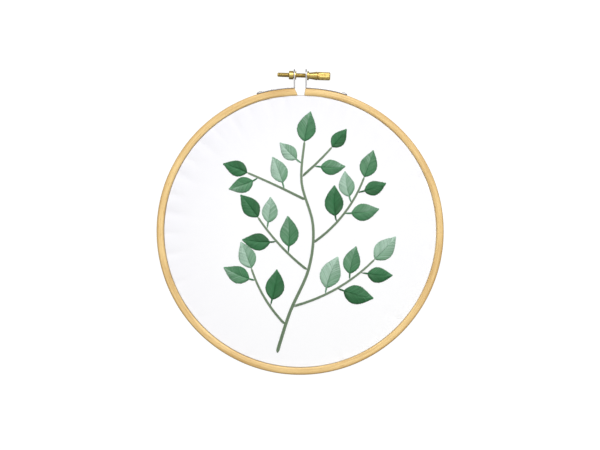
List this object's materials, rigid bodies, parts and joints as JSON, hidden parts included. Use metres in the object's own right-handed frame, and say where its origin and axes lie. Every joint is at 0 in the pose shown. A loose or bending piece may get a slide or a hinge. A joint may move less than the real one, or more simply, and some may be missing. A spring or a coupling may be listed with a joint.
{
  "type": "hoop embroidery in a wooden screw hoop",
  "caption": "White cloth stretched in a split wooden embroidery hoop with a brass thumb screw, stitched with a leafy sprig in green thread.",
  "frame": {"origin": "middle of the outline where the hoop rests, 6.55 mm from the rings' centre towards the screw, on the back faces' plane", "axes": "+Z out of the cloth's face; +Y in the cloth's plane from the rings' centre to the screw; +X to the right seen from the front, towards the knob"},
  "size_m": [0.2, 0.2132, 0.01],
  "materials": {
    "wood": "smooth, lightly varnished",
    "cloth": "fine plain weave, matt",
    "steel": "dull, pressed",
    "brass": "satin, turned",
    "thread_dark": "stranded cotton, soft sheen",
    "thread_mid": "stranded cotton, soft sheen",
    "thread_pale": "stranded cotton, soft sheen",
    "thread_stem": "stranded cotton, soft sheen"
  },
  "bodies": {
    "hoop": {"outer_ring": "wood", "inner_ring": "wood", "cloth": "cloth", "left_lug": "steel", "right_lug": "steel", "left_rivet": "steel", "right_rivet": "steel", "nut": "brass", "main_stem": "thread_stem", "twig_1": "thread_stem", "twig_2": "thread_stem", "twig_3": "thread_stem", "twig_4": "thread_stem", "twig_5": "thread_stem", "twig_6": "thread_stem", "leaf_01": "thread_dark", "leaf_02": "thread_mid", "leaf_03": "thread_pale", "leaf_04": "thread_pale", "leaf_05": "thread_dark", "leaf_06": "thread_mid", "leaf_07": "thread_dark", "leaf_08": "thread_pale", "leaf_09": "thread_mid", "leaf_10": "thread_dark", "leaf_11": "thread_pale", "leaf_12": "thread_dark", "leaf_13": "thread_dark", "leaf_14": "thread_mid", "leaf_15": "thread_pale", "leaf_16": "thread_dark", "leaf_17": "thread_mid", "leaf_18": "thread_pale", "leaf_19": "thread_mid", "leaf_20": "thread_dark", "leaf_21": "thread_mid", "leaf_22": "thread_dark", "leaf_23": "thread_mid", "leaf_24": "thread_pale"},
    "screw": {"thumb_screw": "brass"}
  },
  "joints": [
    {"name": "screw_turn", "type": "hinge", "parent": "hoop", "child": "screw", "pos_m": [0, 0.10225, 0.005], "axis": [0.9995, -0.0332, 0], "range_deg": [-180, 180]}
  ]
}
